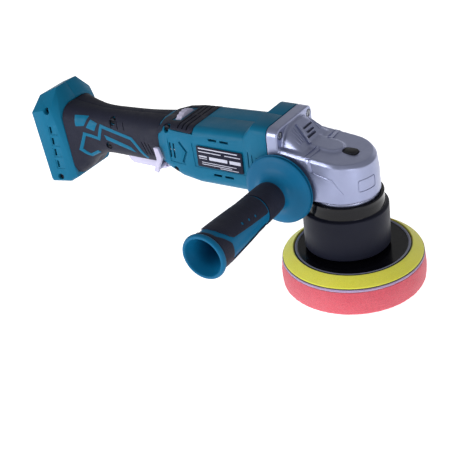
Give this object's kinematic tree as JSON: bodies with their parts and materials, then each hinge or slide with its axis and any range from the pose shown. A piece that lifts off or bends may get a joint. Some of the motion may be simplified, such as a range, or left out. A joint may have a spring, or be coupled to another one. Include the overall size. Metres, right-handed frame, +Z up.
{
  "type": "dual action polisher",
  "caption": "Cordless dual action polisher with an angled gear case, side handle, eccentric drive and a foam pad on a hook-and-loop backing plate.",
  "frame": {"origin": "on the spindle axis, in the working face of the foam pad", "axes": "+Z up along the spindle axis, away from the work; +X along the body towards the nose; the side handle points towards -Y"},
  "size_m": [0.3925, 0.2187, 0.15],
  "materials": {
    "teal": "moulded, satin",
    "rubber": "soft overmould, matt",
    "silver": "cast, satin silver paint",
    "steel": "machined",
    "black": "moulded",
    "label": "printed film, blank",
    "iron": "pressed and plated",
    "brass": "stamped brass",
    "copper": "enamelled copper winding",
    "board": "solder mask",
    "yellow": "soft polyurethane",
    "lavender": "loop fabric",
    "foam": "open-cell foam",
    "light": "moulded"
  },
  "bodies": {
    "body": {"left_housing": "teal", "right_housing": "teal", "left_grip_skin": "rubber", "right_grip_skin": "rubber", "left_collar_skin": "rubber", "right_collar_skin": "rubber", "left_magnet": "iron", "right_magnet": "iron", "left_brush_holder": "brass", "right_brush_holder": "brass", "left_brush": "black", "right_brush": "black", "housing_screw_front_upper": "steel", "housing_screw_front_lower": "steel", "housing_screw_grip_upper": "steel", "housing_screw_grip_lower": "steel", "housing_screw_foot_upper": "steel", "housing_screw_foot_lower": "steel", "flange_screw_1": "steel", "flange_screw_2": "steel", "flange_screw_3": "steel", "flange_screw_4": "steel", "rating_label": "label", "gear_case": "silver", "bearing_cover": "silver", "drive_shroud": "rubber", "lower_spindle_bearing": "steel", "upper_spindle_bearing": "steel", "front_motor_bearing": "steel", "rear_motor_bearing": "steel", "motor_can": "iron", "terminal_block": "black", "control_board": "board", "switch_body": "black", "paddle_pin": "steel", "dial_post": "black"},
    "rotor": {"rotor_shaft": "steel", "wound_rotor": "copper", "commutator": "copper", "cooling_fan": "black", "bevel_pinion": "steel"},
    "drive_spindle": {"spindle": "steel", "bevel_wheel": "steel", "eccentric_hub": "iron", "upper_pad_bearing": "steel", "lower_pad_bearing": "steel"},
    "pad_assembly": {"pad_stub": "steel", "backing_plate": "black", "rim_cushion": "yellow", "loop_layer": "lavender", "foam_pad": "foam"},
    "lock_button_body": {"lock_button": "black"},
    "paddle_body": {"switch_paddle": "light"},
    "lock_off_body": {"lock_off_lever": "light"},
    "plunger_body": {"switch_plunger": "black"},
    "dial_body": {"speed_dial": "light"},
    "handle_carrier": {"guard_ring": "teal"},
    "side_handle": {"side_handle_core": "teal", "side_handle_grip": "rubber", "side_handle_stud": "steel"}
  },
  "joints": [
    {"name": "spindle_spin", "type": "hinge", "parent": "body", "child": "drive_spindle", "pos_m": [0, 0, 0.1], "axis": [0, 0, 1], "continuous": true},
    {"name": "motor_spin", "type": "hinge", "parent": "body", "child": "rotor", "pos_m": [-0.05, 0, 0.112], "axis": [1, 0, 0], "continuous": true},
    {"name": "pad_spin", "type": "hinge", "parent": "drive_spindle", "child": "pad_assembly", "pos_m": [0.00435, 0, 0.04], "axis": [0, 0, 1], "continuous": true},
    {"name": "lock_button_press", "type": "slide", "parent": "body", "child": "lock_button_body", "axis": [0, 0, -1], "range_m": [0, 0.004], "stiffness_N_per_m": 500},
    {"name": "paddle_squeeze", "type": "hinge", "parent": "body", "child": "paddle_body", "pos_m": [-0.178, 0, 0.09], "axis": [0, 1, 0], "range_deg": [0, 6], "stiffness_Nm_per_rad": 0.4, "springref_deg": -2.86},
    {"name": "lock_off_tilt", "type": "hinge", "parent": "paddle_body", "child": "lock_off_body", "pos_m": [-0.184, 0, 0.0864], "axis": [0, -1, 0], "range_deg": [0, 18], "stiffness_Nm_per_rad": 0.02, "springref_deg": -5.73},
    {"name": "switch_plunger_slide", "type": "slide", "parent": "body", "child": "plunger_body", "axis": [0, 0, 1], "range_m": [0, 0.0032]},
    {"name": "speed_dial_turn", "type": "hinge", "parent": "body", "child": "dial_body", "pos_m": [-0.1615, 0, 0.1225], "axis": [1, 0, 0], "range_deg": [0, 270]},
    {"name": "side_handle_out", "type": "slide", "parent": "body", "child": "handle_carrier", "axis": [0, -1, 0], "range_m": [0, 0.0126]},
    {"name": "side_handle_screw", "type": "hinge", "parent": "handle_carrier", "child": "side_handle", "pos_m": [-0.0443, 0, 0.0973], "axis": [0, -1, 0], "range_deg": [0, 3600]}
  ],
  "couplings": [
    {"joint": "motor_spin", "follows": "spindle_spin", "ratio": -3.3636},
    {"joint": "switch_plunger_slide", "follows": "paddle_squeeze", "m_per_rad": 0.028},
    {"joint": "side_handle_out", "follows": "side_handle_screw", "m_per_rad": 0.00019894}
  ]
}
